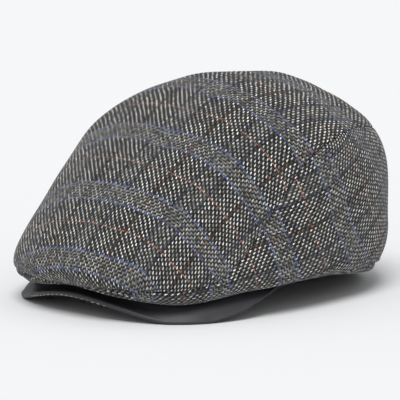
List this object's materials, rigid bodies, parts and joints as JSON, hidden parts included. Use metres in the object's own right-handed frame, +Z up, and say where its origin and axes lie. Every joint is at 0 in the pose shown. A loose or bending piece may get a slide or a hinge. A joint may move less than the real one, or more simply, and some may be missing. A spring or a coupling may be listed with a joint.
{
  "type": "earflap newsboy cap",
  "caption": "Tweed flat cap with a large front and top panel, two side panels, a black leather peak and a knitted ear flap folded up inside.",
  "frame": {"origin": "on the surface that the cap stands on, under the middle of its length and width", "axes": "+Z up, the peak points along -Y, the wearer's left side is +X"},
  "size_m": [0.1898, 0.2468, 0.13],
  "materials": {
    "tweed_top": "woven check tweed in grey, black and cream with thin blue and rust lines",
    "tweed_side": "the same tweed cut along another grain",
    "peak_leather": "matt black leather with a fine grain",
    "peak_underside": "plain black lining cloth",
    "flap_knit": "black ribbed knit"
  },
  "bodies": {
    "root": {"crown_top": "tweed_top", "side_panel_left": "tweed_side", "side_panel_right": "tweed_side", "peak_upper": "peak_leather", "peak_under": "peak_underside", "ear_flap": "flap_knit"}
  },
  "joints": []
}
